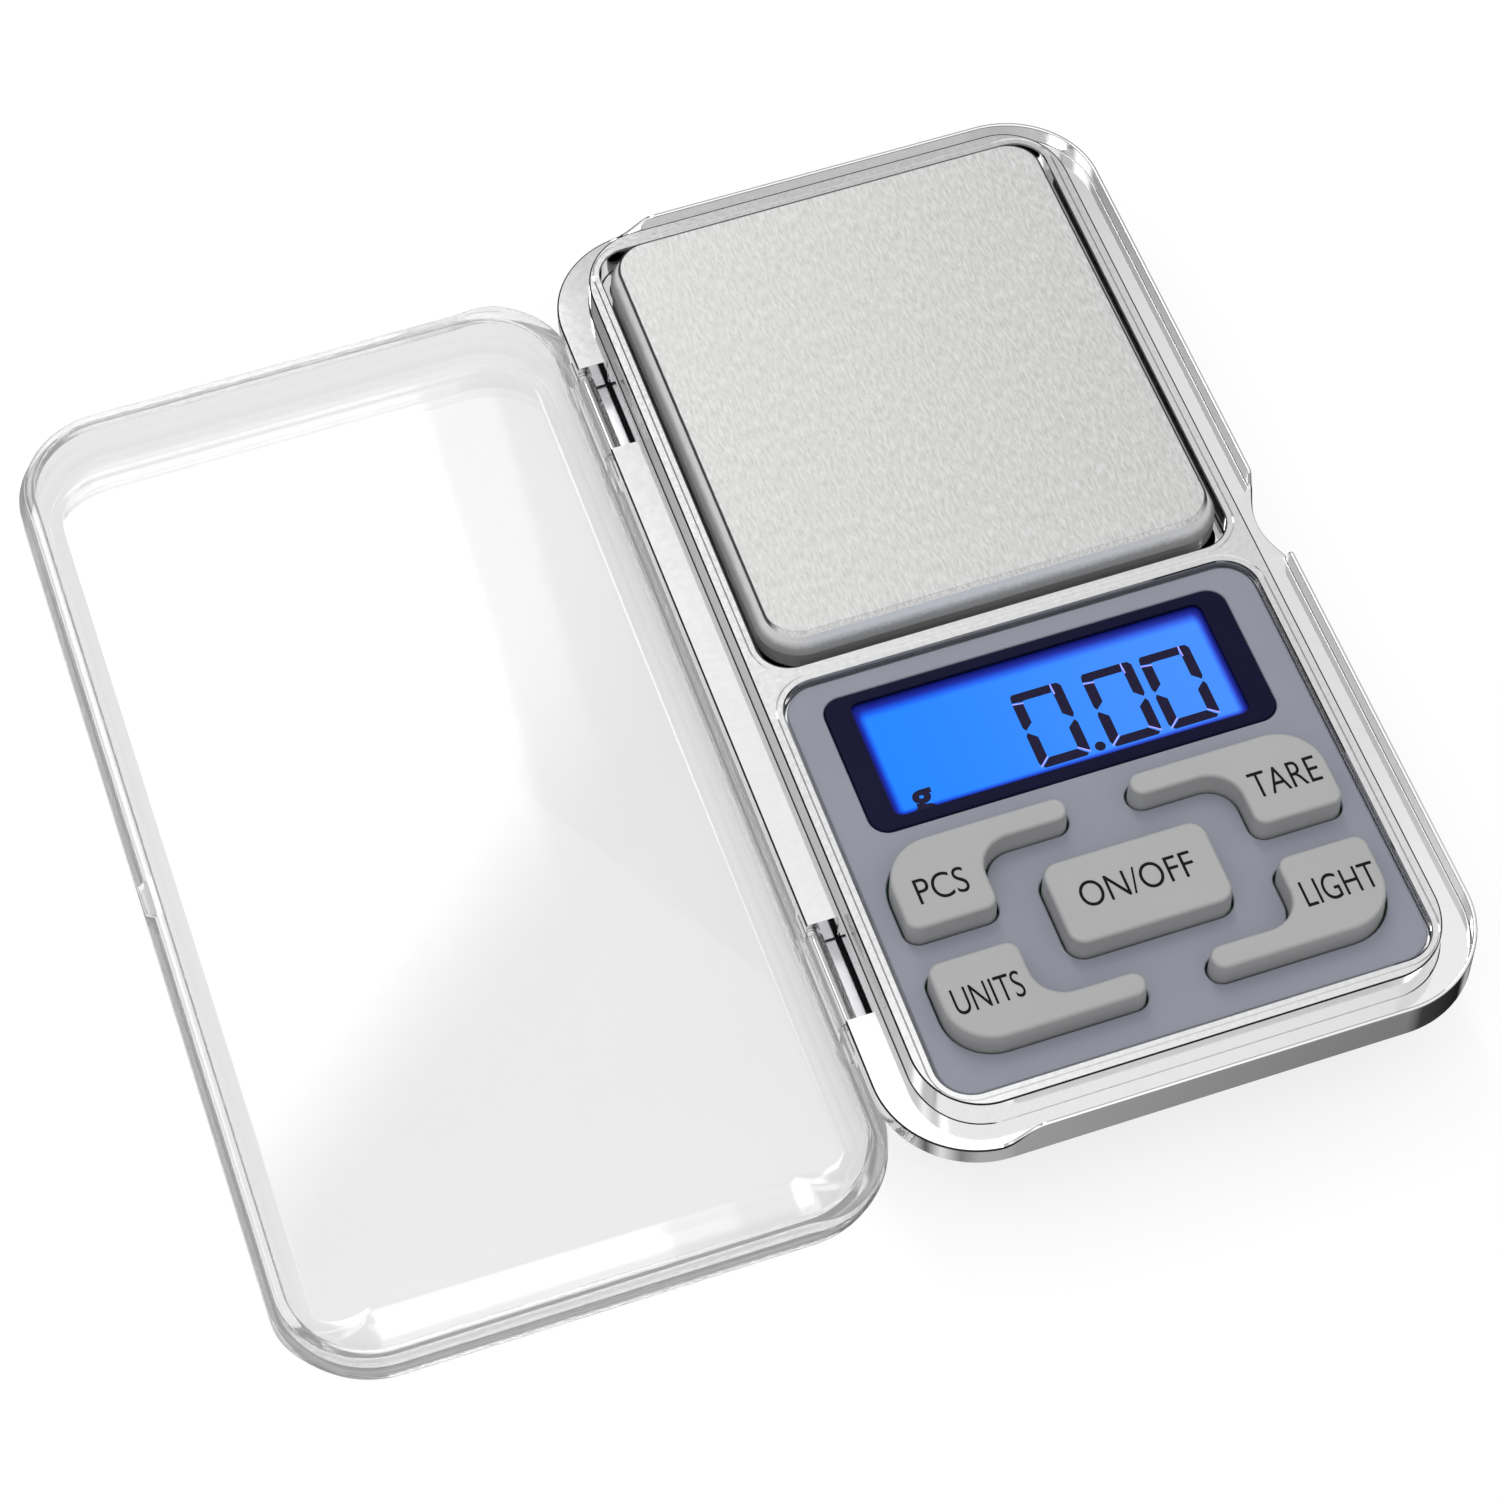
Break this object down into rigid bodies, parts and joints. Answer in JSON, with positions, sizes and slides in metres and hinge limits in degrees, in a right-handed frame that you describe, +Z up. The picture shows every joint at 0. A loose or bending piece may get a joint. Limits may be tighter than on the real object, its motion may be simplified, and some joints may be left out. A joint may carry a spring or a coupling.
{
  "type": "digital gram scale",
  "caption": "Pocket digital gram scale with a clear hinged cover, brushed steel pan, backlit display and soft-edged keys in a silver case.",
  "frame": {"origin": "On the table, directly below the middle of the cover's hinge axis, with the cover open flat.", "axes": "+X from the hinge towards the body, +Y towards the weighing pan end, +Z up."},
  "size_m": [0.123, 0.12, 0.0185],
  "materials": {
    "silver_plating": "polished silver plating on moulded plastic",
    "silver_shell": "silver metallic, satin",
    "clear_plastic": "clear, polished",
    "brushed_steel": "fine brushed grain along the length",
    "pin_steel": "polished",
    "panel_plastic": "satin grey",
    "key_plastic": "soft matte, light warm grey",
    "lens_plastic": "polished clear window with a dark border",
    "display_glass": "polished, blue negative film",
    "backlight_plastic": "milky diffuser",
    "board_green": "solder resist on glass laminate",
    "chip_black": "moulded epoxy",
    "aluminium": "milled",
    "gauge_white": "white potting compound",
    "inner_plastic": "moulded, fine texture",
    "rubber": "matte",
    "spring_steel": "nickel plated",
    "cell_jacket": "plain printed film on a metal can",
    "screw_steel": "zinc plated",
    "contact_rubber": "layered conductive rubber",
    "ribbon_grey": "flat flexible lead"
  },
  "bodies": {
    "case": {"upper_housing": "silver_plating", "lower_housing": "silver_shell", "rear_foot_left": "rubber", "rear_foot_right": "rubber", "housing_screw_front_left": "screw_steel", "housing_screw_front_right": "screw_steel", "housing_screw_rear_left": "screw_steel", "housing_screw_rear_right": "screw_steel", "hinge_pin_rear": "pin_steel", "hinge_pin_front": "pin_steel", "load_cell": "aluminium", "strain_gauge_top": "gauge_white", "strain_gauge_bottom": "gauge_white", "load_cell_spacer": "inner_plastic", "load_cell_screw_1": "screw_steel", "load_cell_screw_2": "screw_steel", "load_cell_ribbon": "ribbon_grey", "keypad_panel": "panel_plastic", "display_lens": "lens_plastic", "display_glass": "display_glass", "display_backlight": "backlight_plastic", "display_contact_strip": "contact_rubber", "main_circuit_board": "board_green", "controller_chip": "chip_black", "converter_chip": "chip_black", "timing_crystal": "spring_steel", "power_switch_dome": "spring_steel", "pieces_switch_dome": "spring_steel", "tare_switch_dome": "spring_steel", "units_switch_dome": "spring_steel", "light_switch_dome": "spring_steel", "battery_cell_1": "cell_jacket", "battery_cell_2": "cell_jacket", "contact_spring_1": "spring_steel", "contact_spring_2": "spring_steel", "contact_bridge": "spring_steel", "negative_terminal": "spring_steel", "positive_terminal": "spring_steel"},
    "cover": {"lid_cover": "clear_plastic"},
    "pan": {"weighing_pan": "brushed_steel", "pan_carrier": "inner_plastic", "carrier_screw_1": "screw_steel", "carrier_screw_2": "screw_steel"},
    "door": {"battery_door": "silver_shell", "front_foot_left": "rubber", "front_foot_right": "rubber"},
    "power_button": {"power_key": "key_plastic"},
    "pieces_button": {"pieces_key": "key_plastic"},
    "tare_button": {"tare_key": "key_plastic"},
    "units_button": {"units_key": "key_plastic"},
    "light_button": {"light_key": "key_plastic"}
  },
  "joints": [
    {"name": "cover_hinge", "type": "hinge", "parent": "case", "child": "cover", "pos_m": [0, 0, 0.01015], "axis": [0, 1, 0], "range_deg": [0, 180]},
    {"name": "pan_press", "type": "slide", "parent": "case", "child": "pan", "axis": [0, 0, -1], "range_m": [0, 0.0004], "stiffness_N_per_m": 12000},
    {"name": "door_slide", "type": "slide", "parent": "case", "child": "door", "axis": [0, -1, 0], "range_m": [0, 0.022]},
    {"name": "power_press", "type": "slide", "parent": "case", "child": "power_button", "axis": [0, 0, -1], "range_m": [0, 0.0005], "stiffness_N_per_m": 3000},
    {"name": "pieces_press", "type": "slide", "parent": "case", "child": "pieces_button", "axis": [0, 0, -1], "range_m": [0, 0.0005], "stiffness_N_per_m": 3000},
    {"name": "tare_press", "type": "slide", "parent": "case", "child": "tare_button", "axis": [0, 0, -1], "range_m": [0, 0.0005], "stiffness_N_per_m": 3000},
    {"name": "units_press", "type": "slide", "parent": "case", "child": "units_button", "axis": [0, 0, -1], "range_m": [0, 0.0005], "stiffness_N_per_m": 3000},
    {"name": "light_press", "type": "slide", "parent": "case", "child": "light_button", "axis": [0, 0, -1], "range_m": [0, 0.0005], "stiffness_N_per_m": 3000}
  ]
}
